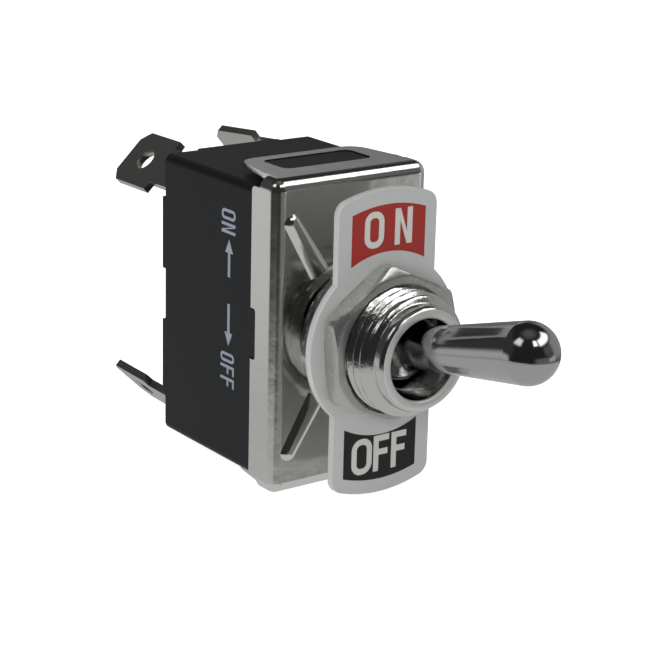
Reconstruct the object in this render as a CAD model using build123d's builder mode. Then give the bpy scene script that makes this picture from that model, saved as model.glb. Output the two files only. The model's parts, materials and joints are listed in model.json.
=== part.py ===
"""Panel toggle switch, ON-OFF, double pole, with four twisted quick-connect blades.

Millimetres. +Z is up and towards ON, -Y points out of the panel along the bushing, +X is to the
right for someone facing the lever. The origin lies on the bushing's axis at the outer face of the
steel frame. The switch is drawn in its ON position, with the lever tilted up.
"""

import os
from math import cos, radians, sin

from build123d import *

os.makedirs("parts", exist_ok=True)

# Folded steel frame
frame_width = 18.1
frame_height = 31.2
sheet = 0.5
fold_radius = 1.2
flange_depth = 3.9
flange_relief = 1.1
flange_end_radius = 0.5
corner_depth = 2.6
tab_depth = 9.5
tab_root_width = 15.8
tab_tip_width = 13.8
tab_corner = 2.1
window_width = 10.4
window_front = 3.9
window_back = 8.2
window_corner = 0.9
notch_height = 5.1
notch_depth = 0.8
rib_angle = 58.0
rib_reach = 14.4
rib_start = 7.4
rib_root_radius = 1.4
rib_root_sink = 0.85
rib_tip_radius = 1.0
rib_tip_sink = 0.48
rib_overlap = 0.3

# Moulded base
base_side_step = 0.05
base_end_step = 1.1
base_back = 19.4
base_corner = 0.8
neck_gap = 0.15
insulator_thickness = 0.3
insulator_margin = 0.1
cavity_wall = 0.75
cavity_end_wall = 1.2
floor_thickness = 2.0
pad_height = 0.75
pad_notch_width = 4.15
pad_notch_height = 4.4
groove_height = 5.4
groove_width = 2.6
lug_clearance = 0.15
barrier_thickness = 1.2
barrier_front = 10.5
stop_width = 2.6
stop_height = 1.8
stop_from_pole = 2.2
stop_gap = 0.3

# Threaded bushing
thread_radius = 6.0
thread_end = 9.9
thread_lead = 0.6
relief_from_nut = 0.4
relief_width = 1.2
relief_depth = 0.3
nose_radius = 5.1
nose_bevel = 0.35
bushing_length = 11.7
rim_radius = 4.84
mouth_radius = 4.0
shank_radius = 5.0
rivet_radius = 6.0
rivet_thickness = 1.0
rivet_gap = 0.1
throat_depth = 2.7
throat_step = 0.25
mouth_flare = 9.0
rear_bore_radius = 4.2
rear_bore_front = 1.6
rear_cone_from_pivot = 2.2

# Nuts and legend plate
nut_flats = 14.0
nut_thickness = 2.2
nut_chamfer_radius = 7.5
front_nut_turn = 5.0
rear_nut_turn = -24.0
thread_clearance = 0.05
plate_thickness = 0.8
plate_front = 5.45
plate_ring_radius = 8.65
plate_half_width = 5.75
plate_end_radius = 15.05
plate_corner = 1.4

# Lever, measured from its pivot along its own axis
pivot_depth = 6.8
lever_tilt = 13.5
ball_radius = 3.3
ball_clearance = 0.1
lever_neck_radius = 2.0
lever_neck_at = 4.6
lever_tip_radius = 2.88
lever_length = 22.3
tail_radius = 1.6
tail_length = 13.4
pin_radius = 0.8
pin_length = 11.2
pin_running_clearance = 0.05
pin_seat_clearance = 0.02

# Actuator block and its plungers
actuator_near = 9.6
actuator_far = 16.6
actuator_side_gap = 1.25
actuator_height = 5.2
actuator_round = 0.6
pole_from_side = 2.3
plunger_radius = 1.2
plunger_clearance = 0.06
plunger_reach = 21.0
plunger_back = 14.2
spring_bore_end = 11.4
spring_wire = 0.34
spring_wire_sides = 6
spring_radius = 0.85
spring_turns = 3.5
spring_end_gap = 0.05

# Rocking contact arms
rocker_depth = 15.3
rocker_tilt = 8.0
rocker_wing = 18.0
rocker_thickness = 0.8
rocker_hub_radius = 0.8
rocker_width = 4.0
rocker_past_contact = 1.2
contact_from_blade = 4.0
contact_radius = 1.4
contact_height = 0.7
contact_gap = 0.1
contact_dome = 4.0
fixed_contact_radius = 1.6

# Terminals. Each blade is twisted and leans a little on its own: how far outwards and endwards of
# its slot it leaves the base, twist in degrees, lean in x and z per mm of length, tip's depth.
blade_from_side = 2.15
blade_from_end = 2.3
blade_lie = {
    ("common", "left"): (0.05, 0.0, 44.0, 0.0, -0.035, 29.95),
    ("common", "right"): (-0.1, 0.2, 50.0, -0.09, -0.07, 30.5),
    ("throw", "left"): (-0.15, 0.2, 44.0, -0.03, 0.06, 30.5),
    ("throw", "right"): (0.05, 0.0, 45.0, 0.0, 0.0, 30.2),
}
blade_width = 6.2
blade_thickness = 0.8
blade_body = 6.8
blade_chamfer = 1.1
blade_hole_from_tip = 3.45
blade_hole_radius = 1.15
blade_neck_width = 4.3
blade_root_gap = 0.3
blade_stem_width = 2.3
slot_clearance = 0.05
foot_thickness = 0.8
foot_past_slot_side = 0.55
foot_past_slot_end = 0.9
strip_from_pole = 0.3
throw_pad_margin = 0.1
throw_pad_before_contact = 1.0
saddle_half_width = 1.6
saddle_half_height = 1.1
saddle_foot_margin = 0.3
saddle_front = 15.75
saddle_clearance = 0.1

# Places worked out from the values above
base_front = sheet + insulator_thickness
floor_front = base_back - floor_thickness
foot_front = floor_front - foot_thickness
neck_width = frame_width - 2 * sheet - 2 * neck_gap
insulator_width = frame_width - 2 * fold_radius - 2 * insulator_margin
insulator_height = frame_height - 2 * fold_radius - 2 * insulator_margin
base_width = frame_width - 2 * base_side_step
base_height = frame_height - 2 * base_end_step
cavity_width = neck_width - 2 * cavity_wall
cavity_height = base_height - 2 * cavity_end_wall
front_nut_back = plate_front
rear_nut_back = plate_front - plate_thickness - nut_thickness
relief_front = front_nut_back + nut_thickness + relief_from_nut
throat_radius = ball_radius + ball_clearance
actuator_width = cavity_width - 2 * actuator_side_gap
pole_offset = actuator_width / 2 - pole_from_side
blade_x = base_width / 2 - blade_from_side
blade_z = base_height / 2 - blade_from_end
contact_at = blade_z - contact_from_blade
rocker_reach = contact_at + rocker_past_contact
foot_outer_x = blade_x + foot_past_slot_side
foot_end_z = blade_z + foot_past_slot_end
tilt = radians(lever_tilt)
pivot = (0, -pivot_depth, 0)
tip_direction = (0, -cos(tilt), sin(tilt))
lever_axis = Axis(pivot, tip_direction)
rest_wing = radians(rocker_wing - rocker_tilt)


def save(piece, label):
    piece.label = label
    export_step(piece, f"parts/{label}.step")


def across_lever(distance):
    """Plane square to the lever's axis, at a distance from the pivot towards the tip."""
    origin = Vector(*pivot) + Vector(*tip_direction) * distance
    return Plane(origin=origin, x_dir=(1, 0, 0), z_dir=tip_direction)


def facing_out(depth):
    """Plane across the bushing's axis, seen from the front: +X right, +Z up, normal -Y."""
    return Plane(origin=(0, depth, 0), x_dir=(1, 0, 0), z_dir=(0, -1, 0))


# Plane through the lever's axis: x is the radius and y runs towards the tip
lever_section = Plane(origin=pivot, x_dir=(1, 0, 0), z_dir=(0, -sin(tilt), -cos(tilt)))

# Plane through the bushing's axis: x is the radius and y the depth behind the frame's face
bushing_section = Plane(origin=(0, 0, 0), x_dir=(1, 0, 0), z_dir=(0, 0, 1))


# Ribs: four round beads pressed into the frame, each a cone with a ball end whose axis rises
# towards the tip. They are cut off at a depth behind the frame's face.
def round_ribs(root_radius, tip_radius, back):
    with BuildPart() as beads:
        for turn in (rib_angle, 180 - rib_angle, 180 + rib_angle, -rib_angle):
            way = Vector(cos(radians(turn)), 0, sin(radians(turn)))
            root = way * rib_start + Vector(0, rib_root_sink, 0)
            tip = way * (rib_reach - rib_tip_radius) + Vector(0, rib_tip_sink, 0)
            with Locations(Plane(origin=root, z_dir=tip - root)):
                Cone(
                    root_radius,
                    tip_radius,
                    (tip - root).length,
                    align=(Align.CENTER, Align.CENTER, Align.MIN),
                )
            with Locations(tip):
                Sphere(tip_radius)
        with BuildSketch(facing_out(back)):
            Rectangle(frame_width, frame_height)
        extrude(amount=root_radius + back, mode=Mode.INTERSECT)
    return beads.part


# Frame: one folded sheet, drawn as a tray with rounded folds. Past the corners the side flanges run
# short, and the top and bottom flanges carry on as tabs whose windows catch the lugs of the base.
half_width = frame_width / 2
half_height = frame_height / 2
with BuildPart() as frame_cover:
    with BuildSketch(Plane.XZ):
        Rectangle(frame_width, frame_height)
    extrude(amount=-flange_depth)
    folds = frame_cover.edges().filter_by(Axis.Y) + frame_cover.edges().group_by(Axis.Y)[0]
    fillet(folds, fold_radius)
    mouth = frame_cover.faces().sort_by(Axis.Y)[-1]
    offset(amount=-sheet, openings=mouth)
    with BuildSketch(Plane.XZ.offset(-corner_depth)):
        with GridLocations(frame_width, frame_height, 2, 2):
            Rectangle(frame_width - tab_root_width, 2 * flange_relief)
    extrude(amount=-flange_depth, mode=Mode.SUBTRACT)
    side_ends = frame_cover.edges().filter_by(Axis.X).filter_by(
        lambda edge: edge.center().Y > flange_depth - 0.01 and abs(edge.center().Z) < half_height - sheet - 0.1
    )
    fillet(side_ends, flange_end_radius)
    for level in (half_height - sheet, -half_height):
        with BuildSketch(Plane.XY.offset(level)):
            with BuildLine():
                Polyline(
                    (-tab_root_width / 2, flange_depth - 0.5),
                    (tab_root_width / 2, flange_depth - 0.5),
                    (tab_tip_width / 2, tab_depth),
                    (-tab_tip_width / 2, tab_depth),
                    close=True,
                )
            tab = make_face()
            fillet(tab.vertices().group_by(Axis.Y)[-1], tab_corner)
        extrude(amount=sheet)
        with BuildSketch(Plane.XY.offset(level)):
            with Locations((0, (window_front + window_back) / 2)):
                RectangleRounded(window_width, window_back - window_front, window_corner)
        extrude(amount=sheet, mode=Mode.SUBTRACT)
    for side in (-1, 1):
        with BuildSketch(Plane.YZ.offset(side * half_width)):
            with Locations((flange_depth, 0)):
                RectangleRounded(2 * notch_depth, notch_height, 0.3)
        extrude(amount=-side * sheet, mode=Mode.SUBTRACT)
    add(round_ribs(rib_root_radius, rib_tip_radius, sheet - rib_overlap))
    add(round_ribs(rib_root_radius - sheet, rib_tip_radius - sheet, sheet), mode=Mode.SUBTRACT)
    with BuildSketch(facing_out(sheet)):
        Circle(shank_radius + thread_clearance)
    extrude(amount=sheet, mode=Mode.SUBTRACT)
save(frame_cover.part, "frame_cover")


# Base: a deep moulded tray with its mouth under the frame, a barrier between the poles, raised
# pads on the back and a slot at each corner for a blade.
with BuildPart() as base_housing:
    with BuildSketch(Plane.XZ.offset(-flange_depth - lug_clearance)):
        RectangleRounded(base_width, base_height, base_corner)
    extrude(amount=-(base_back - flange_depth - lug_clearance))
    with BuildSketch(Plane.XZ.offset(-base_back)):
        RectangleRounded(base_width, base_height, base_corner)
        with GridLocations(base_width, base_height, 2, 2):
            Rectangle(2 * pad_notch_width, 2 * pad_notch_height, mode=Mode.SUBTRACT)
        with GridLocations(base_width, 0, 2, 1):
            Rectangle(2 * groove_width, groove_height, mode=Mode.SUBTRACT)
    extrude(amount=-pad_height)
    pad_rim = base_housing.edges().group_by(Axis.Y)[-1]
    chamfer(pad_rim, 0.2)
    with BuildSketch(Plane.XZ.offset(-base_front)):
        RectangleRounded(neck_width, base_height, base_corner)
    extrude(amount=-(flange_depth + lug_clearance - base_front))
    with BuildSketch(Plane.XZ.offset(-base_front)):
        RectangleRounded(cavity_width, cavity_height, base_corner)
    extrude(amount=-(floor_front - base_front), mode=Mode.SUBTRACT)
    with BuildSketch(Plane.XZ.offset(-barrier_front)):
        Rectangle(barrier_thickness, cavity_height)
    extrude(amount=-(floor_front - barrier_front))
    stop_front = (
        rocker_depth
        - contact_at * sin(rest_wing)
        + rocker_thickness / 2 / cos(rest_wing)
        + stop_gap
    )
    for side in (-1, 1):
        with BuildSketch(Plane.XZ.offset(-stop_front)):
            with Locations((side * (pole_offset - stop_from_pole), contact_at)):
                Rectangle(stop_width, stop_height)
        extrude(amount=-(floor_front - stop_front))
    for level in (-1, 1):
        lug_middle = (window_front + window_back) / 2
        with BuildSketch(Plane.XY.offset(level * base_height / 2)):
            with Locations((0, lug_middle)):
                RectangleRounded(
                    window_width - 2 * lug_clearance,
                    window_back - window_front - 2 * lug_clearance,
                    window_corner - lug_clearance,
                )
        extrude(amount=level * (frame_height - base_height) / 2 - level * 0.1)
    for side in (-1, 1):
        with BuildSketch(Plane.YZ.offset(side * neck_width / 2)):
            with Locations((flange_depth + 0.2, 0)):
                Rectangle(2 * (notch_depth + 0.2 - lug_clearance), notch_height - 2 * lug_clearance)
        extrude(amount=side * (base_width - neck_width) / 2)
    for side_x in (-1, 1):
        for side_z in (-1, 1):
            blade_plane = Plane(
                origin=(side_x * blade_x, floor_front, side_z * blade_z),
                x_dir=(side_x, 0, -side_z),
                z_dir=(0, 1, 0),
            )
            with BuildSketch(blade_plane):
                Rectangle(blade_stem_width + 2 * slot_clearance, blade_thickness + 2 * slot_clearance)
            extrude(amount=floor_thickness, mode=Mode.SUBTRACT)
save(base_housing.part, "base_housing")


# Insulator: a liner sheet that keeps the frame off the live parts
with BuildPart() as insulator:
    with BuildSketch(Plane.XZ.offset(-sheet)):
        RectangleRounded(insulator_width, insulator_height, base_corner)
        Circle(rivet_radius + rivet_gap, mode=Mode.SUBTRACT)
    extrude(amount=-insulator_thickness)
save(insulator.part, "insulator")


# Bushing: turned barrel riveted through the frame. The thread's crest is the plain outer wall, and
# a relief inside the front nut sets off the stretch of thread that is free.
with BuildPart() as bushing:
    with BuildSketch(bushing_section):
        with BuildLine():
            Polyline(
                (mouth_radius, -bushing_length),
                (rim_radius, -bushing_length),
                (nose_radius, -bushing_length + nose_bevel),
                (nose_radius, -thread_end - thread_lead),
                (thread_radius, -thread_end),
                (thread_radius, -relief_front),
                (thread_radius - relief_depth, -relief_front),
                (thread_radius - relief_depth, -relief_front + relief_width),
                (thread_radius, -relief_front + relief_width),
                (thread_radius, 0),
                (shank_radius, 0),
                (shank_radius, sheet),
                (rivet_radius, sheet),
                (rivet_radius, sheet + rivet_thickness),
                (rear_bore_radius, sheet + rivet_thickness),
                (rear_bore_radius, -rear_bore_front),
                (throat_radius, -pivot_depth + rear_cone_from_pivot),
                (throat_radius, -bushing_length + throat_depth),
                (throat_radius + throat_step, -bushing_length + throat_depth),
            )
            RadiusArc(
                (throat_radius + throat_step, -bushing_length + throat_depth),
                (mouth_radius, -bushing_length),
                mouth_flare,
            )
        make_face()
    revolve(axis=Axis.Y)
    with BuildSketch(Plane.YZ):
        with Locations((-pivot_depth, 0)):
            Circle(pin_radius + pin_seat_clearance)
    extrude(amount=thread_radius + 1, both=True, mode=Mode.SUBTRACT)
save(bushing.part, "bushing")


# Nuts: hexagons whose corners are turned back on both faces
def hex_nut(back, turn):
    corner_radius = nut_flats / 2 / cos(radians(30))
    cut_depth = (corner_radius - nut_chamfer_radius) * sin(radians(30)) / cos(radians(30))
    with BuildPart() as nut:
        with BuildSketch(facing_out(-back)):
            RegularPolygon(corner_radius, 6, rotation=90 + turn)
            Circle(thread_radius + thread_clearance, mode=Mode.SUBTRACT)
        extrude(amount=nut_thickness)
        with BuildSketch(bushing_section):
            with BuildLine():
                Polyline(
                    (0, -back),
                    (nut_chamfer_radius, -back),
                    (corner_radius, -back - cut_depth),
                    (corner_radius, -back - nut_thickness + cut_depth),
                    (nut_chamfer_radius, -back - nut_thickness),
                    (0, -back - nut_thickness),
                    close=True,
                )
            make_face()
        revolve(axis=Axis.Y, mode=Mode.INTERSECT)
    return nut.part


save(hex_nut(rear_nut_back, rear_nut_turn), "rear_nut")
save(hex_nut(front_nut_back, front_nut_turn), "front_nut")


# Legend plate: a ring with an arched wing above and below for ON and OFF
with BuildPart() as legend_plate:
    with BuildSketch(facing_out(-plate_front + plate_thickness)) as plate_outline:
        Circle(plate_end_radius)
        Rectangle(2 * plate_half_width, 2 * plate_end_radius, mode=Mode.INTERSECT)
        fillet(plate_outline.vertices(), plate_corner)
        Circle(plate_ring_radius)
        Circle(thread_radius + thread_clearance, mode=Mode.SUBTRACT)
    extrude(amount=plate_thickness)
save(legend_plate.part, "legend_plate")


# Lever: bat, ball and tail turned as one piece
with BuildPart() as lever:
    with BuildSketch(lever_section):
        with BuildLine():
            tip_centre = lever_length - lever_tip_radius
            neck_start = (ball_radius * sin(radians(48)), ball_radius * cos(radians(48)))
            tail_start = (tail_radius, -((ball_radius**2 - tail_radius**2) ** 0.5))
            Line((0, -tail_length), (tail_radius, -tail_length))
            Line((tail_radius, -tail_length), tail_start)
            ThreePointArc(tail_start, (ball_radius, 0), neck_start)
            Spline(
                neck_start,
                (lever_neck_radius, lever_neck_at),
                tangents=[(-0.9, 0.75), (0.062, 1)],
            )
            Line((lever_neck_radius, lever_neck_at), (lever_tip_radius, tip_centre))
            ThreePointArc(
                (lever_tip_radius, tip_centre),
                (lever_tip_radius * cos(radians(45)), tip_centre + lever_tip_radius * sin(radians(45))),
                (0, lever_length),
            )
            Line((0, lever_length), (0, -tail_length))
        make_face()
    revolve(axis=lever_axis)
    with BuildSketch(Plane.YZ):
        with Locations((-pivot_depth, 0)):
            Circle(pin_radius + pin_running_clearance)
    extrude(amount=ball_radius + 1, both=True, mode=Mode.SUBTRACT)
save(lever.part, "lever")


# Pivot pin: crosses the bushing and the lever's ball
with BuildPart() as pivot_pin:
    with BuildSketch(Plane.YZ.offset(-pin_length / 2)):
        with Locations((-pivot_depth, 0)):
            Circle(pin_radius)
    extrude(amount=pin_length)
    chamfer(pivot_pin.edges().filter_by(GeomType.CIRCLE), 0.15)
save(pivot_pin.part, "pivot_pin")


# Actuator: insulating block on the lever's tail, with a blind bore for each plunger
with BuildPart() as actuator:
    with BuildSketch(across_lever(-actuator_far)):
        RectangleRounded(actuator_width, actuator_height, actuator_round)
    extrude(amount=actuator_far - actuator_near)
    with BuildSketch(across_lever(-tail_length - 0.1)):
        Circle(tail_radius + pin_seat_clearance)
    extrude(amount=tail_length - actuator_near + 0.2, mode=Mode.SUBTRACT)
    with BuildSketch(across_lever(-actuator_far)):
        with GridLocations(2 * pole_offset, 0, 2, 1):
            Circle(plunger_radius + plunger_clearance)
    extrude(amount=actuator_far - spring_bore_end, mode=Mode.SUBTRACT)
save(actuator.part, "actuator")


for side, hand in ((-1, "left"), (1, "right")):
    pole = side * pole_offset

    # Plunger: round-nosed pin that presses on the rocking arm
    with BuildPart() as plunger:
        with BuildSketch(across_lever(-plunger_back)):
            with Locations((pole, 0)):
                Circle(plunger_radius)
        extrude(amount=-(plunger_reach - plunger_radius - plunger_back))
        nose = across_lever(plunger_radius - plunger_reach).origin + Vector(pole, 0, 0)
        with Locations(nose):
            Sphere(plunger_radius)
    save(plunger.part, f"plunger_{hand}")

    # Plunger spring: compression coil in the actuator's bore
    spring_length = plunger_back - spring_bore_end - 2 * spring_end_gap - spring_wire
    spring_start = across_lever(-plunger_back + spring_end_gap + spring_wire / 2).origin
    with BuildPart() as spring:
        with BuildLine():
            coil = Helix(
                pitch=spring_length / spring_turns,
                height=spring_length,
                radius=spring_radius,
                center=spring_start + Vector(pole, 0, 0),
                direction=tip_direction,
            )
        with BuildSketch(Plane(origin=coil @ 0, z_dir=coil % 0)):
            RegularPolygon(spring_wire / 2, spring_wire_sides)
        sweep(is_frenet=True)
    save(spring.part, f"plunger_spring_{hand}")

    # Rocking arm: a knuckle between two wings that lean forward, tilted as it lies in ON
    arm_plane = Plane(
        origin=(pole, rocker_depth, 0),
        x_dir=(0, cos(radians(rocker_tilt)), sin(radians(rocker_tilt))),
        z_dir=(1, 0, 0),
    )
    wing = radians(rocker_wing)
    with BuildPart() as rocker:
        with BuildSketch(arm_plane):
            Circle(rocker_hub_radius)
            for way in (-1, 1):
                reach = rocker_reach - rocker_thickness / 2
                with Locations(Location((-sin(wing) * reach / 2, way * cos(wing) * reach / 2), 90 + way * rocker_wing)):
                    SlotCenterToCenter(reach, rocker_thickness)
        extrude(amount=rocker_width / 2, both=True)
    save(rocker.part, f"rocker_{hand}")

    # Moving contact: rivet head on the back of the lower wing
    out = Vector(0, cos(rest_wing), -sin(rest_wing))
    along = Vector(0, -sin(rest_wing), -cos(rest_wing))
    rivet_foot = Vector(pole, rocker_depth, 0) + along * contact_at + out * (rocker_thickness / 2)
    with BuildPart() as moving_contact:
        with BuildSketch(Plane(origin=rivet_foot, x_dir=(1, 0, 0), z_dir=out)):
            Circle(contact_radius)
        extrude(amount=contact_height)
        chamfer(moving_contact.edges().group_by(Axis.Y)[-1], 0.15)
    save(moving_contact.part, f"moving_contact_{hand}")

    # Fixed contact: domed rivet on the lower terminal's foot, just clear of the moving one
    dome_centre = rivet_foot + out * (contact_height + contact_gap + contact_dome)
    dome_front = dome_centre.Y - contact_dome
    with BuildPart() as fixed_contact:
        with BuildSketch(Plane.XZ.offset(-foot_front)):
            with Locations((pole, dome_centre.Z)):
                Circle(fixed_contact_radius)
        extrude(amount=foot_front - dome_front)
        with Locations(dome_centre):
            Sphere(contact_dome, mode=Mode.INTERSECT)
    save(fixed_contact.part, f"fixed_contact_{hand}")

    # Blades: twisted to 45 degrees, shouldered on the base, with a foot on the cavity's floor
    for level, role in ((1, "common"), (-1, "throw")):
        outwards, endwards, twist, lean_x, lean_z, tip_depth = blade_lie[role, hand]
        root_x, root_z = side * (blade_x + outwards), level * (blade_z + endwards)
        width_way = Vector(side * cos(radians(twist)), 0, -level * sin(radians(twist)))
        length_way = Vector(lean_x, 1, lean_z)
        stem_plane = Plane(
            origin=(side * blade_x, floor_front, level * blade_z),
            x_dir=(side, 0, -level),
            z_dir=Vector(side, 0, -level).cross(Vector(0, 1, 0)),
        )
        blade_plane = Plane(
            origin=(root_x, base_back, root_z), x_dir=width_way, z_dir=width_way.cross(length_way)
        )
        half_blade = blade_width / 2
        half_neck = blade_neck_width / 2
        tip = tip_depth - base_back
        with BuildPart() as terminal:
            with BuildSketch(stem_plane):
                with Locations((0, (floor_thickness + 2 * blade_root_gap) / 2)):
                    Rectangle(blade_stem_width, floor_thickness + 2 * blade_root_gap)
            extrude(amount=blade_thickness / 2, both=True)
            with BuildSketch(blade_plane):
                with BuildLine():
                    outline = Polyline(
                        (0, blade_root_gap),
                        (half_neck, blade_root_gap),
                        (half_neck, tip - blade_body),
                        (half_blade, tip - blade_body),
                        (half_blade, tip - blade_chamfer),
                        (half_blade - blade_chamfer, tip),
                        (0, tip),
                    )
                    mirror(outline, about=Plane.YZ)
                make_face()
                with Locations((0, tip - blade_hole_from_tip)):
                    Circle(blade_hole_radius, mode=Mode.SUBTRACT)
            extrude(amount=blade_thickness / 2, both=True)
            with BuildSketch(Plane.XZ.offset(-foot_front)):
                if role == "common":
                    inner = pole_offset + strip_from_pole
                    near = -saddle_half_height - saddle_foot_margin
                else:
                    inner = pole_offset - fixed_contact_radius - throw_pad_margin
                    near = contact_at - throw_pad_before_contact
                with Locations((side * (inner + foot_outer_x) / 2, level * (near + foot_end_z) / 2)):
                    Rectangle(foot_outer_x - inner, foot_end_z - near)
                if role == "common":
                    with Locations((pole, 0)):
                        Rectangle(
                            2 * saddle_half_width, 2 * (saddle_half_height + saddle_foot_margin)
                        )
            extrude(amount=-foot_thickness)
            if role == "common":
                with BuildSketch(Plane.XZ.offset(-saddle_front)):
                    with Locations((pole, 0)):
                        Rectangle(2 * saddle_half_width, 2 * saddle_half_height)
                extrude(amount=-(foot_front - saddle_front))
                with BuildSketch(Plane.YZ.offset(pole)):
                    with Locations((rocker_depth, 0)):
                        Circle(rocker_hub_radius + saddle_clearance)
                extrude(amount=saddle_half_width, both=True, mode=Mode.SUBTRACT)
        save(terminal.part, f"{role}_terminal_{hand}")
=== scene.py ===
"""Looks of a panel toggle switch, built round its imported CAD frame.

The switch lies as in part.py: +Z up towards ON, -Y out of the panel along the bushing, origin on
the bushing's axis at the frame's front face. Blender works in metres here, and sizes that are
written in millimetres are multiplied by MM.
"""

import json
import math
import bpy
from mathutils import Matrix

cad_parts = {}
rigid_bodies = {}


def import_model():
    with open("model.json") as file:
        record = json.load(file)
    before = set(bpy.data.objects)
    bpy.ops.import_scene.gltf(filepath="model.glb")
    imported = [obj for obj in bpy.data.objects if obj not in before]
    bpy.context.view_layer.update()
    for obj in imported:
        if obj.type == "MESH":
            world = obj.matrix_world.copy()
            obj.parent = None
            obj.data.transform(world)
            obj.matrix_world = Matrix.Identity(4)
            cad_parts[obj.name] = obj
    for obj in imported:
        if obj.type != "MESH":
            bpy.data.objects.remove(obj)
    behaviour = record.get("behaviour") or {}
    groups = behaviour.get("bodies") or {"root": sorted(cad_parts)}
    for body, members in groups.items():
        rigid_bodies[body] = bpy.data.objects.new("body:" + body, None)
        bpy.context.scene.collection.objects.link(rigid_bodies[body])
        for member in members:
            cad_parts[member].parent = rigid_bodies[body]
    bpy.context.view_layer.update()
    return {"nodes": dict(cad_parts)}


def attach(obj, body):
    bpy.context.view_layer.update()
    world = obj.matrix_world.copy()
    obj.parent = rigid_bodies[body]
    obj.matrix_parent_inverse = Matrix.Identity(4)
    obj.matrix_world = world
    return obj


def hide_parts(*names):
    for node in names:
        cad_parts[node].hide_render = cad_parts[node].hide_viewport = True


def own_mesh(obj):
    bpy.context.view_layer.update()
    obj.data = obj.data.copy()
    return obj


bl_info = {
    "name": "Panel toggle switch",
    "version": (1, 0, 0),
    "blender": (4, 5, 0),
    "location": "View3D > Sidebar > Toggle switch",
    "description": "Builds the visible pieces, finishes and studio of a panel toggle switch",
    "category": "Object",
}

import bmesh
import bpy
import numpy as np
from mathutils import Matrix, Vector

for stale in list(bpy.data.objects):
    bpy.data.objects.remove(stale, do_unlink=True)
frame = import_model()

MM = 0.001
HOUSING = "housing"
HANDS = ("left", "right")

# Places shared by several pieces, in millimetres, as in part.py. The plate's two faces and the
# nuts' thickness count outwards from the frame.
PLATE_BACK, PLATE_FRONT = 4.65, 5.45
NUT_THICKNESS = 2.2
BASE_SIDE = 9.0
FLOOR_LEVEL = -15.65

# The plungers slide this way into the actuator, as in part.py
PLUNGER_WAY = (0.0, -0.97237, 0.233445)

# Corners of a CAD mesh that lie closer than this are one, in metres
MERGE_DISTANCE = 0.002 * MM


def linear(code):
    """sRGB hex colour as linear red, green, blue and full alpha."""
    srgb = np.array([int(code[i : i + 2], 16) for i in (1, 3, 5)]) / 255
    low, high = srgb / 12.92, ((srgb + 0.055) / 1.055) ** 2.4
    return (*np.where(srgb <= 0.04045, low, high).tolist(), 1.0)


def colour_prop(name, code, description):
    return bpy.props.FloatVectorProperty(
        name=name,
        description=description,
        default=linear(code)[:3],
        min=0,
        max=1,
        size=3,
        subtype="COLOR",
    )


def length_prop(name, millimetres, description):
    return bpy.props.FloatProperty(
        name=name,
        description=description,
        default=millimetres * MM,
        min=0,
        precision=5,
        subtype="DISTANCE",
        unit="LENGTH",
    )


class SwitchFinish(bpy.types.PropertyGroup):
    """Colours of the switch's finishes."""

    moulding: colour_prop("Base moulding", "#111315", "Black thermoset of the base")
    plating: colour_prop("Frame plating", "#E6E6E2", "Bright nickel on the folded frame")
    chrome: colour_prop("Lever", "#BBBBBB", "Bright chrome on the lever")
    thread: colour_prop("Threaded barrel", "#D6D6D3", "Nickel on the threaded bushing")
    nut: colour_prop("Nuts", "#C6C6C3", "Satin nickel on both nuts")
    plate: colour_prop("Legend plate", "#CDCFCD", "Satin aluminium of the legend plate")
    on_ink: colour_prop("ON field", "#94241D", "Red ink behind the word ON")
    off_ink: colour_prop("OFF field", "#121110", "Black ink behind the word OFF")
    side_ink: colour_prop("Side print", "#838B97", "Pale ink on the side of the base")
    blade: colour_prop("Blades", "#BDBDB8", "Tin plate on the four blades")


class SwitchSizes(bpy.types.PropertyGroup):
    """Sizes of what is added to the CAD shapes."""

    thread_pitch: length_prop("Thread pitch", 1.0, "Distance from crest to crest along the bushing")
    thread_depth: length_prop("Thread depth", 0.5, "Crest to root")
    edge_round: length_prop("Moulded edge", 0.12, "Rounding of the base's edges")
    sheet_round: length_prop("Sheet edge", 0.07, "Rounding of cut sheet metal edges")
    nut_round: length_prop("Nut edge", 0.1, "Rounding of the nuts' edges")
    ink_lift: length_prop("Ink lift", 0.012, "How far a print lies over what carries it")


def finish_values():
    return bpy.context.scene.switch_finish


def size_values():
    return bpy.context.scene.switch_sizes


# Materials

# How high the grain stands, as a share of its size, and the least roughness of any spot
GRAIN_HEIGHT = 0.1
LEAST_ROUGHNESS = 0.02


def add_node(tree, kind, inputs=None, **settings):
    """Adds one node. An input takes a plain value or another node's output socket."""
    made = tree.nodes.new(kind)
    for key, value in settings.items():
        setattr(made, key, value)
    for key, value in (inputs or {}).items():
        if isinstance(value, bpy.types.NodeSocket):
            tree.links.new(value, made.inputs[key])
        else:
            made.inputs[key].default_value = value
    return made


def blank_material(name):
    """A material with only its output node, and that node."""
    material = bpy.data.materials.get(name) or bpy.data.materials.new(name)
    material.use_nodes = True
    material.node_tree.nodes.clear()
    return material, add_node(material.node_tree, "ShaderNodeOutputMaterial")


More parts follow.
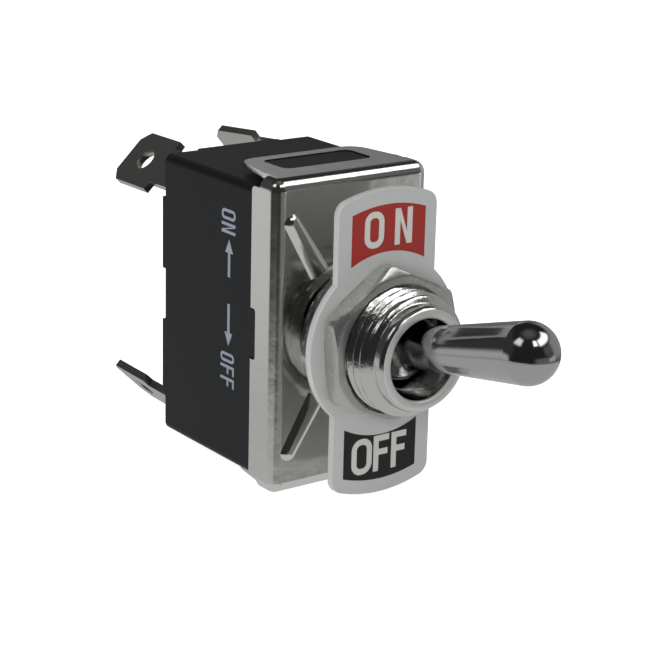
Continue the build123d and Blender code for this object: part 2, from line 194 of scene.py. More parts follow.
def surface(name, colour, metallic, roughness, grain_mm, bump, uneven=0.0, **sockets):
    """A worked surface: noise of a real grain size tilts it a little and varies its roughness."""
    material, output = blank_material(name)
    tree = material.node_tree
    place = add_node(tree, "ShaderNodeTexCoord")
    grain = add_node(
        tree,
        "ShaderNodeTexNoise",
        {"Vector": place.outputs["Object"], "Scale": 1 / (grain_mm * MM), "Detail": 3.0},
    )
    height, distance = grain.outputs["Fac"], grain_mm * MM * GRAIN_HEIGHT
    relief = add_node(
        tree, "ShaderNodeBump", {"Height": height, "Strength": bump, "Distance": distance}
    )
    shader = add_node(
        tree,
        "ShaderNodeBsdfPrincipled",
        {
            "Base Color": (*colour[:3], 1.0),
            "Metallic": metallic,
            "Roughness": roughness,
            "Normal": relief.outputs["Normal"],
            **sockets,
        },
    )
    if uneven:
        spread = add_node(
            tree,
            "ShaderNodeMapRange",
            {
                "Value": height,
                "To Min": max(roughness - uneven, LEAST_ROUGHNESS),
                "To Max": roughness + uneven,
            },
        )
        tree.links.new(spread.outputs["Result"], shader.inputs["Roughness"])
    tree.links.new(shader.outputs["BSDF"], output.inputs["Surface"])
    return material


_finish_cache = {}


def finishes():
    """Materials by name, made once.

    The numbers of each are metallic, roughness, the grain's size in millimetres, the strength of
    its relief and, where it has one, how far the roughness varies with it.
    """
    if _finish_cache:
        return _finish_cache
    f = finish_values()
    made = {
        # Compression moulded phenolic: black with a soft sheen and a very fine orange peel
        "moulding": surface(
            "phenolic, compression moulded",
            f.moulding, 0.0, 0.45, 0.35, 0.25, 0.05,
            **{"Specular IOR Level": 0.25},
        ),
        # Cold rolled steel with bright nickel: mirror-like, slightly wavy from the rolling
        "plating": surface(
            "steel sheet, bright nickel plated", f.plating, 1.0, 0.15, 3.0, 0.10, 0.03
        ),
        # Cast, polished and chrome plated: sharp reflections
        "chrome": surface(
            "zinc casting, polished and chrome plated", f.chrome, 1.0, 0.1, 1.2, 0.05, 0.02
        ),
        # Thread cut on a lathe, then plated: a mirror broken up by fine tool marks
        "threaded": surface("turned brass, nickel plated", f.thread, 1.0, 0.16, 0.4, 0.6, 0.06),
        # The barrel's mouth keeps the dull marks of the parting tool
        "rim": surface(
            "turned brass, faced and nickel plated", linear("#D2D3D0"), 0.6, 0.4, 0.4, 0.3, 0.06
        ),
        # Turned steel, satin nickel: soft reflections, uneven from the bar's rolled flats
        "nut": surface("turned steel, satin nickel plated", f.nut, 0.92, 0.3, 0.9, 0.42, 0.13),
        # Rolled aluminium sheet, satin: broad soft reflections
        "plate": surface("aluminium sheet, satin", f.plate, 0.45, 0.42, 0.25, 0.2, 0.05),
        # The same sheet where the print leaves it bare
        "bare": surface(
            "aluminium sheet, bare in the print", linear("#CBCCC6"), 0.2, 0.5, 0.25, 0.1
        ),
        # Screen printed epoxy ink: flat colour with a low gloss
        "on_ink": surface("red epoxy ink, screen printed", f.on_ink, 0.0, 0.42, 0.3, 0.1),
        "off_ink": surface("black epoxy ink, screen printed", f.off_ink, 0.0, 0.42, 0.3, 0.1),
        # Pad printed ink: thin, pale and matt
        "side_ink": surface("grey ink, pad printed", f.side_ink, 0.0, 0.6, 0.3, 0.1),
        # Blanked brass with dull tin: grey and half matt
        "blade": surface("brass strip, tin plated", f.blade, 1.0, 0.32, 0.5, 0.2, 0.06),
        # Pressed fibre board: brown and dull, with a felted face
        "board": surface("insulating board, pressed", linear("#7A6248"), 0.0, 0.7, 0.4, 0.3),
        # Nylon as it comes from the mould: cream coloured and smooth
        "nylon": surface("natural nylon, moulded", linear("#D8D2C0"), 0.0, 0.4, 0.4, 0.1),
        # Acetal as it comes from the mould: dark, with a waxy shine
        "acetal": surface("black acetal, moulded", linear("#26272A"), 0.0, 0.35, 0.4, 0.1),
        # Copper from the rolls: warm and bright
        "copper": surface("copper strip, bright", linear("#C98A62"), 1.0, 0.25, 0.5, 0.1),
        # Struck rivet heads: pale and bright
        "silver": surface("silver rivet, bright", linear("#DAD9D4"), 1.0, 0.2, 0.4, 0.1),
        # Drawn wire and pin: grey with a soft shine
        "steel": surface("spring steel, drawn", linear("#9C9C9E"), 1.0, 0.25, 0.3, 0.1),
    }
    _finish_cache.update(made)
    return _finish_cache


def dress(piece, material):
    piece.data.materials.clear()
    piece.data.materials.append(material)
    return piece


# Meshes


def mesh_piece(name, points, faces, crease=35.0):
    """Mesh object at the origin from points in millimetres.

    It is shaded smooth but for edges that turn by more than crease degrees.
    """
    mesh = bpy.data.meshes.new(name)
    corners = (np.asarray(points, float) * MM).tolist()
    mesh.from_pydata(corners, [], [tuple(face) for face in np.asarray(faces).tolist()])
    mesh.validate()
    mesh.polygons.foreach_set("use_smooth", [True] * len(mesh.polygons))
    mesh.set_sharp_from_angle(angle=math.radians(crease))
    piece = bpy.data.objects.new(name, mesh)
    bpy.context.scene.collection.objects.link(piece)
    return piece


def grid_faces(rows, columns, wrap_rows=False, wrap_columns=False, start=0):
    """Quads of a rows by columns grid, joined round on itself where wrapped."""
    row = np.arange(rows if wrap_rows else rows - 1)
    column = np.arange(columns if wrap_columns else columns - 1)
    r, c = np.meshgrid(row, column, indexing="ij")
    r2, c2 = (r + 1) % rows, (c + 1) % columns
    quads = np.stack([r * columns + c, r * columns + c2, r2 * columns + c2, r2 * columns + c], -1)
    return quads.reshape(-1, 4) + start


def place_piece(piece, slot, material, *nodes, body=HOUSING):
    """Dresses a piece, lets it ride on a body and stand for CAD nodes."""
    dress(piece, material)
    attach(piece, body)
    if nodes:
        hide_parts(*nodes)
    return piece


def node_copy(node, name):
    """Object with its own copy of a CAD node's mesh."""
    piece = bpy.data.objects.new(name, frame["nodes"][node].data.copy())
    bpy.context.scene.collection.objects.link(piece)
    piece.data.name = name
    return piece


# Rounding of a copy of a CAD node: faces that lie within the first angle become one flat face, and
# edges that turn by more than the second are rounded. Both are in degrees.
FLAT_ANGLE = 0.4
EDGE_ANGLE = 28.0
ROUND_SEGMENTS = 2


def softened_copy(node, name, width):
    """Copy of a CAD node with its triangles merged and its hard edges rounded by width."""
    piece = node_copy(node, name)
    bpy.context.view_layer.objects.active = piece
    piece.data.polygons.foreach_set("use_smooth", [True] * len(piece.data.polygons))
    weld = piece.modifiers.new("merge", "WELD")
    weld.merge_threshold = MERGE_DISTANCE
    flat = piece.modifiers.new("flat faces", "DECIMATE")
    flat.decimate_type = "DISSOLVE"
    flat.angle_limit = math.radians(FLAT_ANGLE)
    bevel = piece.modifiers.new("edges", "BEVEL")
    bevel.width = width
    bevel.segments = ROUND_SEGMENTS
    bevel.limit_method = "ANGLE"
    bevel.angle_limit = math.radians(EDGE_ANGLE)
    bevel.harden_normals = True
    bevel.use_clamp_overlap = True
    level = piece.modifiers.new("flat shading", "WEIGHTED_NORMAL")
    level.keep_sharp = True
    return piece


# Bushing

# Section of the barrel from its rivet flange forward along the bore and round the rim, and then
# where it passes the frame's hole, as radius and depth behind the frame's face in millimetres
BORE_AND_RIM = (
    (6.0, 1.5), (4.2, 1.5), (4.2, 0.4), (4.2, -1.6), (3.4, -4.6), (3.4, -6.8), (3.4, -9.0),
    (3.42, -9.15), (3.5, -9.3), (3.62, -9.7), (3.74, -10.3), (3.86, -10.9), (3.95, -11.4),
    (4.02, -11.62), (4.12, -11.7), (4.7, -11.7), (4.84, -11.66), (5.02, -11.42), (5.1, -11.2),
    (5.1, -10.75), (5.1, -10.5),
)
FRAME_HOLE = ((6.0, 0.0), (5.0, 0.0), (5.0, 0.5), (6.0, 0.5))
# Rows of the mouth's face, from its inner to its outer edge
RIM_ROWS = (12, 16)

# Outside of the barrel, in millimetres: the smooth nose and where it ends, the thread's crest, and
# where and over what way the wall rises to the crest and the thread sets in
NOSE_RADIUS, NOSE_END, CREST_RADIUS = 5.1, -10.5, 6.0
WALL_START, WALL_RISE = -10.45, 0.55
THREAD_START, THREAD_RISE = -10.35, 0.7
# Height of the thread as a sharp V, and what the root's flat takes of it, in thread depths
SHARP_HEIGHT, ROOT_FLAT = 1.35, 0.12
ROWS_PER_TURN = 16
BARREL_SEGMENTS = 192


def bushing_rows(pitch):
    """Section of the barrel as rows of radius, depth behind the frame and thread share.

    The line runs from the rivet flange forward along the bore, round the rim and back along the
    thread to the frame. The wall's radius and the thread share rise in a straight line behind the
    nose. Thread share is 1 where the thread is cut in full and 0 where there is none.
    """
    turns = round(-NOSE_END / pitch)
    y = np.linspace(NOSE_END, 0.0, turns * ROWS_PER_TURN + 1)[1:]
    rise = np.clip((y - WALL_START) / WALL_RISE, 0, 1)
    share = np.clip((y - THREAD_START) / THREAD_RISE, 0, 1)
    wall = np.stack([NOSE_RADIUS + (CREST_RADIUS - NOSE_RADIUS) * rise, y, share], -1)
    front, back = (np.pad(line, ((0, 0), (0, 1))) for line in (BORE_AND_RIM, FRAME_HOLE))
    return np.concatenate([front, wall, back])


class SWITCH_OT_bushing(bpy.types.Operator):
    """Turned barrel with its cut thread, in place of the plain CAD bushing"""

    bl_idname = "switch.bushing"
    bl_label = "Bushing barrel"

    def execute(self, context):
        sizes = size_values()
        pitch, depth = sizes.thread_pitch / MM, sizes.thread_depth / MM
        rows = bushing_rows(pitch)
        turn = np.linspace(0, 2 * math.pi, BARREL_SEGMENTS, endpoint=False)
        radius, along, share = (rows[:, i][:, None] for i in range(3))
        # Thread: the phase goes from 0 to 1 between two crests along the helix. The ridge stands
        # as high as the phase is far from its middle, cut flat at root and crest.
        phase = (along / pitch + turn[None] / (2 * math.pi)) % 1
        ridge = np.clip(SHARP_HEIGHT * np.abs(2 * phase - 1) - ROOT_FLAT, 0, 1)
        r = radius - share * depth * (1 - ridge)
        points = np.stack([r * np.cos(turn), np.broadcast_to(along, r.shape), r * np.sin(turn)], -1)
        faces = grid_faces(len(rows), len(turn), wrap_rows=True, wrap_columns=True)
        barrel = mesh_piece("bushing_barrel", points.reshape(-1, 3), faces, crease=40)
        place_piece(barrel, "bushing_chrome", finishes()["threaded"], "bushing")
        barrel.data.materials.append(finishes()["rim"])
        mouth = np.zeros(len(faces), dtype=np.int32)
        mouth[RIM_ROWS[0] * len(turn) : RIM_ROWS[1] * len(turn)] = 1
        barrel.data.polygons.foreach_set("material_index", mouth)
        return {"FINISHED"}


# Nuts

# In millimetres: width across flats, bore, radius of the turned faces, width and depth of the
# bore's chamfer, and how far the corners are cut back and how softly
NUT_WIDTH, NUT_BORE, NUT_FACE_RADIUS = 14.0, 6.04, 7.15
BORE_CHAMFER = (0.3, 0.35)
CORNER_CUT, CORNER_EASE = 0.12, 0.03
CHAMFER_ANGLE = 30
NUT_SEGMENTS = 360
# Each nut's node, how far its front face stands out and its turn about the bushing in degrees
NUTS = (
    ("rear_nut", PLATE_BACK, -24.0),
    ("front_nut", PLATE_FRONT + NUT_THICKNESS, 5.0),
)


def nut_points(front, turn, round_by):
    """Hexagon nut as rings of points: bore, front face, chamfer, flats, chamfer, back face.

    At each angle the outer wall lies at the hexagon's distance, w / (2 cos a), eased over each
    corner. The chamfer is a cone of CHAMFER_ANGLE that starts at the edge of both turned faces.
    """
    a = np.linspace(0, 2 * math.pi, NUT_SEGMENTS, endpoint=False)
    local = (a - math.radians(turn) + math.pi / 6) % (math.pi / 3) - math.pi / 6
    hexagon = NUT_WIDTH / 2 / np.cos(local)
    limit = NUT_WIDTH / 2 / math.cos(math.pi / 6) - CORNER_CUT
    outer = limit - np.log1p(np.exp((limit - hexagon) / CORNER_EASE)) * CORNER_EASE
    half = NUT_THICKNESS / 2
    flat_edge = np.minimum(NUT_FACE_RADIUS, outer - round_by * 0.6)
    drop = np.maximum(outer - NUT_FACE_RADIUS, 0) * math.tan(math.radians(CHAMFER_ANGLE))
    # Radius and depth under the face: bore, face, its turned edge, then the rounding of the wall
    steps = [
        (NUT_BORE, BORE_CHAMFER[1]),
        (NUT_BORE + BORE_CHAMFER[0], 0.0),
        (flat_edge - 0.35, 0.0),
        (flat_edge - 0.08, 0.012),
        (flat_edge + 0.06, 0.055),
        (outer - round_by * 0.5, drop + round_by * 0.3),
        (outer - round_by * 0.14, drop + round_by * 0.62),
        (outer, drop + round_by * 1.1),
    ]
    rings = [(r, under - half) for r, under in steps]
    rings += [(r, half - under) for r, under in reversed(steps)]
    middle = half - front
    return np.stack(
        [
            np.stack([r * np.cos(a), np.broadcast_to(y + middle, a.shape), r * np.sin(a)], -1)
            for r, y in rings
        ]
    )


class SWITCH_OT_nuts(bpy.types.Operator):
    """The two hexagon nuts with turned corners, in place of the CAD nuts"""

    bl_idname = "switch.nuts"
    bl_label = "Nuts"

    def execute(self, context):
        for node, front, turn in NUTS:
            points = nut_points(front, turn, size_values().nut_round / MM)
            rings, around = points.shape[:2]
            faces = grid_faces(rings, around, wrap_rows=True, wrap_columns=True)
            piece = mesh_piece(f"{node}_turned", points.reshape(-1, 3), faces, crease=24)
            place_piece(piece, "nut_chrome", finishes()["nut"], node)
        return {"FINISHED"}


# Prints

# Legend plate, in millimetres: a field lies between two circles about the bushing and its left and
# right edge, a letter between its own left and right, and a word's letters between bottom and top
ON_FIELD = (9.0, 13.57, -4.22, 4.38)
OFF_FIELD = (9.1, 13.65, -4.5, 4.15)
ON_LETTERS = (("O", -2.76, -0.5), ("N", 0.77, 2.82))
OFF_LETTERS = (("O", -3.55, -1.12), ("F", -0.94, 0.92), ("F", 1.2, 3.0))
ON_LINE = (9.5, 13.02)
OFF_LINE = (-12.85, -9.2)
LEGEND_STROKE = 0.62

# Side of the base, in millimetres: upper and lower end of each word and tail and tip of each
# arrow along Z, where letters stand and where they reach to along -Y, and the arrows' Y
SIDE_ON, SIDE_OFF = ("ON", 11.3, 8.9), ("OFF", -3.1, -6.6)
ON_ARROW, OFF_ARROW = (4.6, 8.4), (1.9, -2.4)
SIDE_LINE = (-9.1, -6.7)
SIDE_STROKE, SIDE_GAP = 0.3, 0.3
ARROW_LINE, ARROW_HEAD, ARROW_HALF, ARROW_SHAFT = 7.75, 1.4, 0.68, 0.42

# Letter forms: the O's corner as a share of its width, the N's diagonal in strokes, the height of
# the F's middle bar as a share of the letter's, and how much shorter it is in strokes
O_CORNER, N_DIAGONAL, F_MIDDLE, F_SHORTER = 0.46, 1.9, 0.53, 0.25


def band(inner, outer, left, right, sign, steps=25):
    """Arched field between two circles about the bushing, cut off at left and right.

    Its height at each x runs from the root of r^2 - x^2 of the inner circle to that of the outer.
    """
    x = np.linspace(left, right, steps)
    low, high = np.sqrt(inner**2 - x**2), np.sqrt(outer**2 - x**2)
    return np.stack([np.stack([x, sign * low], -1), np.stack([x, sign * high], -1)])


def bar(x0, z0, x1, z1, width):
    """Straight stroke of a letter as a 2 by 2 grid: its ends, each half a width to both sides."""
    ends = np.array([(x0, z0), (x1, z1)], float)
    way = ends[1] - ends[0]
    side = np.array([-way[1], way[0]]) / np.linalg.norm(way) * width / 2
    return np.stack([ends - side, ends + side])


def loop(x0, z0, x1, z1, width, corner, steps=10):
    """Round-cornered ring of a letter O: an outer and an inner outline with the same centres.

    Each corner is a quarter circle about a centre that lies one corner radius inside the box.
    """
    quarter = np.linspace(0, math.pi / 2, steps)
    rings = []
    for inset in (0.0, width):
        radius = max(corner - inset, 0.05)
        outline = []
        for k, (x, z) in enumerate(((x1, z1), (x0, z1), (x0, z0), (x1, z0))):
            centre_x = x - math.copysign(corner, x - (x0 + x1) / 2)
            centre_z = z - math.copysign(corner, z - (z0 + z1) / 2)
            t = quarter + k * math.pi / 2
            outline.append(
                np.stack([centre_x + radius * np.cos(t), centre_z + radius * np.sin(t)], -1)
            )
        rings.append(np.concatenate(outline))
    return np.stack(rings)


def letter_shapes(places, bottom, top, stroke):
    """Letters O, N and F as grids of points, each between its own left and right."""
    shapes = []
    half = stroke / 2
    for letter, x0, x1 in places:
        if letter == "O":
            shapes.append(("ring", loop(x0, bottom, x1, top, stroke, (x1 - x0) * O_CORNER)))
            continue
        shapes.append(("bar", bar(x0 + half, bottom, x0 + half, top, stroke)))
        if letter == "N":
            shapes.append(("bar", bar(x1 - half, bottom, x1 - half, top, stroke)))
            low, high, rise = x0 + stroke, x1 - stroke, stroke * N_DIAGONAL
            under = [(low, top - rise), (high, bottom)]
            over = [(low, top), (high, bottom + rise)]
            shapes.append(("bar", np.array([under, over])))
        else:
            middle, end = bottom + (top - bottom) * F_MIDDLE, x1 - stroke * F_SHORTER
            shapes.append(("bar", bar(x0 + stroke, top - half, x1, top - half, stroke)))
            shapes.append(("bar", bar(x0 + stroke, middle, end, middle, stroke)))
    return shapes


def print_piece(name, shapes, to_space):
    """One flat mesh from grids of plane points, put into space by to_space(u, v)."""
    points, faces, count = [], [], 0
    for kind, grid in shapes:
        rows, columns = grid.shape[:2]
        faces.append(grid_faces(rows, columns, wrap_columns=kind == "ring", start=count))
        points.append(to_space(grid[..., 0], grid[..., 1]).reshape(-1, 3))
        count += rows * columns
    return mesh_piece(name, np.concatenate(points), np.concatenate(faces))


def face_towards(piece, direction):
    """Turns over each face that looks away from direction."""
    mesh = piece.data
    away = [p.index for p in mesh.polygons if p.normal.dot(direction) < 0]
    if away:
        edit = bmesh.new()
        edit.from_mesh(mesh)
        edit.faces.ensure_lookup_table()
        bmesh.ops.reverse_faces(edit, faces=[edit.faces[i] for i in away])
        edit.to_mesh(mesh)
        edit.free()
    return piece


class SWITCH_OT_legend(bpy.types.Operator):
    """Legend plate with its red and black fields and the words ON and OFF in bare metal"""

    bl_idname = "switch.legend"
    bl_label = "Legend plate"

    def execute(self, context):
        sizes, looks = size_values(), finishes()
        plate = softened_copy("legend_plate", "legend_plate_sheet", sizes.sheet_round)
        place_piece(plate, "plate_metal", looks["plate"], "legend_plate")
        lift = sizes.ink_lift / MM
        front = Vector((0, -1, 0))
        # Each print's name, finish, layer over the plate and shapes
        layers = (
            ("on_field", "on_ink", 1, [("field", band(*ON_FIELD, 1))]),
            ("off_field", "off_ink", 1, [("field", band(*OFF_FIELD, -1))]),
            ("on_letters", "bare", 2, letter_shapes(ON_LETTERS, *ON_LINE, LEGEND_STROKE)),
            ("off_letters", "bare", 2, letter_shapes(OFF_LETTERS, *OFF_LINE, LEGEND_STROKE)),
        )
        for name, look, level, shapes in layers:
            y = -PLATE_FRONT - lift * level
            piece = print_piece(
                name, shapes, lambda u, v, y=y: np.stack([u, np.full_like(u, y), v], -1)
            )
            place_piece(face_towards(piece, front), "plate_metal", looks[look])
            piece.visible_glossy = False
        return {"FINISHED"}


def side_word(text, upper, lower):
    """Word read downwards: letters lie on their side with their tops towards -Y."""
    width = (upper - lower - SIDE_GAP * (len(text) - 1)) / len(text)
    starts = [-upper + k * (width + SIDE_GAP) for k in range(len(text))]
    places = [(letter, start, start + width) for letter, start in zip(text, starts)]
    shapes = letter_shapes(places, *SIDE_LINE, SIDE_STROKE)
    return [(kind, np.stack([-grid[..., 1], -grid[..., 0]], -1)) for kind, grid in shapes]


def side_arrow(tail, tip):
    """Arrow along Z: a bar from its tail to the head, and a head that narrows to the tip."""
    y, neck = ARROW_LINE, tip - math.copysign(ARROW_HEAD, tip - tail)
    head = np.array([[(y - ARROW_HALF, neck), (y, tip)], [(y + ARROW_HALF, neck), (y, tip)]], float)
    return [("bar", bar(y, tail, y, neck, ARROW_SHAFT)), ("bar", head)]


class SWITCH_OT_side_print(bpy.types.Operator):
    """Plain ON and OFF words and arrows on the left side of the base"""

    bl_idname = "switch.side_print"
    bl_label = "Side print"

    def execute(self, context):
        x = -BASE_SIDE - size_values().ink_lift / MM
        shapes = [
            *side_word(*SIDE_ON),
            *side_arrow(*ON_ARROW),
            *side_arrow(*OFF_ARROW),
            *side_word(*SIDE_OFF),
        ]
        piece = print_piece(
            "side_marks", shapes, lambda u, v: np.stack([np.full_like(u, x), u, v], -1)
        )
        place_piece(face_towards(piece, Vector((-1, 0, 0))), "base_plastic", finishes()["side_ink"])
        return {"FINISHED"}


# Base, blades and the pieces that keep their CAD shapes

CAD_LOOKS = {
    "frame_cover": "plating",
    "lever": "chrome",
    "pivot_pin": "steel",
    "insulator": "board",
    "actuator": "nylon",
    "plunger": "acetal",
    "rocker": "copper",
    "moving_contact": "silver",
    "fixed_contact": "silver",
}


class SWITCH_OT_body(bpy.types.Operator):
    """Base and blades with rounded edges, and finishes for the pieces that keep their CAD shape"""

    bl_idname = "switch.body"
    bl_label = "Base, blades and lever"

    def execute(self, context):
        sizes, looks = size_values(), finishes()
        base = softened_copy("base_housing", "base_moulding", sizes.edge_round)
        place_piece(base, "base_plastic", looks["moulding"], "base_housing")
        for role in ("common", "throw"):
            for hand in HANDS:
                node = f"{role}_terminal_{hand}"
                blade = softened_copy(node, f"{role}_blade_{hand}", sizes.sheet_round)
                place_piece(blade, "terminal_tin", looks["blade"], node)
        for stem, look in CAD_LOOKS.items():
            for node in (stem, *(f"{stem}_{hand}" for hand in HANDS)):
                if node in frame["nodes"]:
                    dress(frame["nodes"][node], looks[look])
        return {"FINISHED"}


class SWITCH_OT_springs(bpy.types.Operator):
    """The coil behind each plunger as a merged copy that rides on the lever; the real coil shortens
    as the plunger slides in
    """

    bl_idname = "switch.springs"
    bl_label = "Plunger springs"

    def execute(self, context):
        for hand in HANDS:
            node = f"plunger_spring_{hand}"
            coil = node_copy(node, f"plunger_coil_{hand}")
            edit = bmesh.new()
            edit.from_mesh(coil.data)
            bmesh.ops.remove_doubles(edit, verts=edit.verts, dist=MERGE_DISTANCE)
            edit.to_mesh(coil.data)
            edit.free()
            place_piece(coil, "spring_steel", finishes()["steel"], node, body="lever")
            # The point that lies furthest along the plungers' way is the coil's end in the actuator
            points = np.array([v.co for v in coil.data.vertices])
            reach = points @ np.array(PLUNGER_WAY)
            closed_end = points[reach.argmax()]
            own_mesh(coil)
        return {"FINISHED"}


# Studio

# Camera's place in millimetres, its angles in degrees, its lens and sensor in millimetres and
# the range that it sees in metres
CAMERA_PLACE = (-115.891, -154.109, 59.451)
CAMERA_YAW, CAMERA_PITCH, CAMERA_ROLL = 36.211, 17.055, 1.398
CAMERA_LENS, CAMERA_SENSOR = 115.53, 36.0
CAMERA_CLIP = (0.01, 10.0)

# Each lamp's name, place and size in millimetres and power in watts. All look at one spot.
LAMPS = (
    ("overhead softbox", (-60, -40, 260), 240, 0.34),
    ("left front softbox", (-240, -160, 90), 160, 0.5),
)
LAMP_AIM = (0, 5, 0)

# Half the floor's width in millimetres, its grey, and how much it glows for the camera alone
FLOOR_REACH = 900
PAPER = (0.85, 0.85, 0.85, 1)
PAPER_GLOW = 0.8

WHITE = (1, 1, 1, 1)
# Light of the surroundings on matt surfaces, and as the camera sees them
WORLD_LEVEL, BACKDROP_LEVEL = 0.45, 1.0

# Studio as polished metal sees it: a dark room with a pale ceiling, a white table, lighter walls
# and soft lights. Each row is a window in the sky: azimuth from +X, its half width and edge,
# elevation, its half height and edge, all in degrees, and its level. A later row lies over the
# rows before it.
STUDIO_WINDOWS = (
    ("ceiling", 0, 200, 1, 90, 18, 12, 0.13),
    ("left back wall", 130, 40, 10, 18, 24, 6, 0.05),
    ("front wall top", 318, 28, 8, 17, 12, 5, 0.12),
    ("right side wall", 5, 38, 10, 8, 24, 8, 0.35),
    ("table", 0, 200, 1, -66, 45, 3, 0.55),
    ("table's far edge", 190, 36, 7, -23, 4.5, 1.5, 0.5),
    ("table behind", 122, 36, 8, -12, 9, 6, 0.56),
    ("right wall", 62, 26, 10, 1, 20, 5, 0.17),
    ("right wall top", 72, 18, 6, 19, 5, 3, 0.46),
    ("front wall", 298, 42, 12, -12, 9, 3, 0.17),
    ("front panel", 323, 15, 2.5, -11, 6, 3, 0.52),
    ("overhead light", 318, 38, 8, 47, 10, 4, 2.2),
    ("second overhead light", 262, 9, 4, 50, 9, 3, 2.6),
    ("left light", 175, 18, 7, 49, 11, 5, 1.2),
)
ROOM_LEVEL = 0.022


def camera_matrix():
    """Camera turned by yaw from +Y towards +X, pitched down, then rolled about its own axis."""
    yaw, pitch, roll = (math.radians(v) for v in (CAMERA_YAW, CAMERA_PITCH, CAMERA_ROLL))
    level = math.cos(pitch)
    look = Vector((math.sin(yaw) * level, math.cos(yaw) * level, -math.sin(pitch)))
    side = look.cross(Vector((0, 0, 1))).normalized()
    up = side.cross(look)
    right = side * math.cos(roll) + up * math.sin(roll)
    top = up * math.cos(roll) - side * math.sin(roll)
    turn = Matrix((right, top, -look)).transposed().to_4x4()
    return Matrix.Translation(Vector(CAMERA_PLACE) * MM) @ turn


def area_lamp(name, place, size, power):
    """Square soft lamp at a place, turned towards LAMP_AIM, that shows in no reflection."""
    data = bpy.data.lights.new(name, "AREA")
    data.shape = "RECTANGLE"
    data.size = data.size_y = size * MM
    data.energy = power
    lamp = bpy.data.objects.new(name, data)
    bpy.context.scene.collection.objects.link(lamp)
    lamp.location = Vector(place) * MM
    lamp.visible_glossy = False
    lamp.rotation_mode = "QUATERNION"
    way = Vector(LAMP_AIM) * MM - lamp.location
    lamp.rotation_quaternion = way.to_track_quat("-Z", "Y")


def math_node(tree, operation, *values):
    """Output of one Math node over plain values and sockets, in the order of its inputs."""
    made = add_node(tree, "ShaderNodeMath", dict(enumerate(values)), operation=operation)
    return made.outputs[0]


def studio_sky(tree, direction):
    """Brightness by direction: each window is laid over the room with soft edges.

    A window's share of a direction is 1 within its half width and half height and eases to 0
    across its edges, by the distance of azimuth and elevation from the window's middle.
    """
    split = add_node(tree, "ShaderNodeSeparateXYZ", {0: direction})
    azimuth = math_node(tree, "ARCTAN2", split.outputs["Y"], split.outputs["X"])
    elevation = math_node(tree, "ARCSINE", split.outputs["Z"])

    def mask(angle, centre, half, edge, turns):
        centre, half, edge = (math.radians(v) for v in (centre, half, edge))
        away = math_node(tree, "SUBTRACT", angle, centre)
        if turns:
            away = math_node(tree, "WRAP", away, math.pi, -math.pi)
        ease = add_node(
            tree,
            "ShaderNodeMapRange",
            {
                "Value": math_node(tree, "ABSOLUTE", away),
                "From Min": half - edge,
                "From Max": half + edge,
                "To Min": 1.0,
                "To Max": 0.0,
            },
            interpolation_type="SMOOTHSTEP",
        )
        return ease.outputs["Result"]

    level = ROOM_LEVEL
    for _, az, az_half, az_edge, el, el_half, el_edge, value in STUDIO_WINDOWS:
        across = mask(azimuth, az, az_half, az_edge, True)
        up = mask(elevation, el, el_half, el_edge, False)
        share = math_node(tree, "MULTIPLY", across, up)
        laid = add_node(tree, "ShaderNodeMix", {0: share, 2: level, 3: value})
        level = laid.outputs[0]
    return level


def paper_floor():
    """Matt white paper, which looks white to the camera and keeps the shadow."""
    corners = [(-1, -1), (1, -1), (1, 1), (-1, 1)]
    points = [(x * FLOOR_REACH, y * FLOOR_REACH, FLOOR_LEVEL) for x, y in corners]
    floor = mesh_piece("floor", points, [(0, 1, 2, 3)])
    material, output = blank_material("white paper, matt")
    tree = material.node_tree
    ray = add_node(tree, "ShaderNodeLightPath")
    seen = math_node(tree, "MULTIPLY", ray.outputs["Is Camera Ray"], PAPER_GLOW)
    paper = add_node(tree, "ShaderNodeBsdfDiffuse", {"Color": PAPER})
    glow = add_node(tree, "ShaderNodeEmission", {"Strength": seen})
    both = add_node(tree, "ShaderNodeAddShader", {0: paper.outputs[0], 1: glow.outputs[0]})
    tree.links.new(both.outputs[0], output.inputs["Surface"])
    dress(floor, material)
    floor.visible_glossy = False


def studio_world():
    """Plain light for matt surfaces, the studio for polished ones and white for the camera."""
    world = bpy.data.worlds.new("white studio")
    world.use_nodes = True
    tree = world.node_tree
    tree.nodes.clear()
    output = add_node(tree, "ShaderNodeOutputWorld")
    ray = add_node(tree, "ShaderNodeLightPath")
    place = add_node(tree, "ShaderNodeTexCoord")
    sky = studio_sky(tree, place.outputs["Generated"])

    def light(strength):
        made = add_node(tree, "ShaderNodeBackground", {"Color": WHITE, "Strength": strength})
        return made.outputs[0]

    def by_ray(kind, others, own):
        mixed = add_node(tree, "ShaderNodeMixShader", {0: ray.outputs[kind], 1: others, 2: own})
        return mixed.outputs[0]

    metal = by_ray("Is Glossy Ray", light(WORLD_LEVEL), light(sky))
    final = by_ray("Is Camera Ray", metal, light(BACKDROP_LEVEL))
    tree.links.new(final, output.inputs["Surface"])
    return world


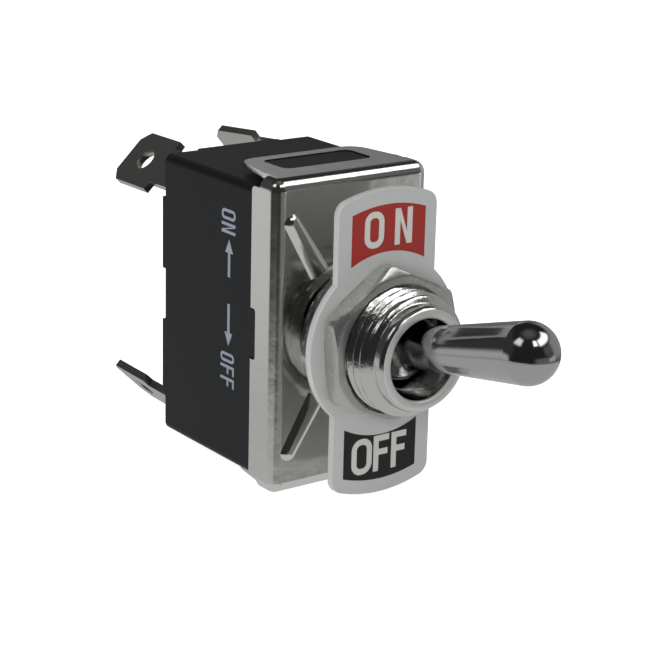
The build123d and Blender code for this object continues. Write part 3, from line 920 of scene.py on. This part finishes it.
def photo_camera():
    data = bpy.data.cameras.new("camera")
    data.sensor_width = CAMERA_SENSOR
    data.lens = CAMERA_LENS
    data.clip_start, data.clip_end = CAMERA_CLIP
    camera = bpy.data.objects.new("camera", data)
    bpy.context.scene.collection.objects.link(camera)
    camera.matrix_world = camera_matrix()
    return camera


class SWITCH_OT_stage(bpy.types.Operator):
    """Pale floor, soft lamps, white surroundings and the camera"""

    bl_idname = "switch.stage"
    bl_label = "Studio"

    def execute(self, context):
        scene = context.scene
        scene.view_settings.view_transform = "Standard"
        paper_floor()
        scene.world = studio_world()
        for lamp in LAMPS:
            area_lamp(*lamp)
        scene.camera = photo_camera()
        return {"FINISHED"}


class SWITCH_PT_panel(bpy.types.Panel):
    """Lists the switch's pieces, sizes and colours"""

    bl_label = "Toggle switch"
    bl_idname = "SWITCH_PT_panel"
    bl_space_type = "VIEW_3D"
    bl_region_type = "UI"
    bl_category = "Toggle switch"

    def draw(self, context):
        column = self.layout.column()
        for operator in OPERATORS:
            column.operator(operator.bl_idname)
        for group in (context.scene.switch_sizes, context.scene.switch_finish):
            for name in group.__annotations__:
                column.prop(group, name)


OPERATORS = (
    SWITCH_OT_body,
    SWITCH_OT_bushing,
    SWITCH_OT_nuts,
    SWITCH_OT_legend,
    SWITCH_OT_side_print,
    SWITCH_OT_springs,
    SWITCH_OT_stage,
)
CLASSES = (SwitchFinish, SwitchSizes, *OPERATORS, SWITCH_PT_panel)


def register():
    for cls in CLASSES:
        bpy.utils.register_class(cls)
    bpy.types.Scene.switch_finish = bpy.props.PointerProperty(type=SwitchFinish)
    bpy.types.Scene.switch_sizes = bpy.props.PointerProperty(type=SwitchSizes)


def unregister():
    del bpy.types.Scene.switch_finish
    del bpy.types.Scene.switch_sizes
    for cls in reversed(CLASSES):
        bpy.utils.unregister_class(cls)


def main():
    register()
    for operator in OPERATORS:
        group, name = operator.bl_idname.split(".")
        if getattr(getattr(bpy.ops, group), name)() != {"FINISHED"}:
            raise RuntimeError(f"{operator.bl_label} was not built")


if __name__ == "__main__":
    main()
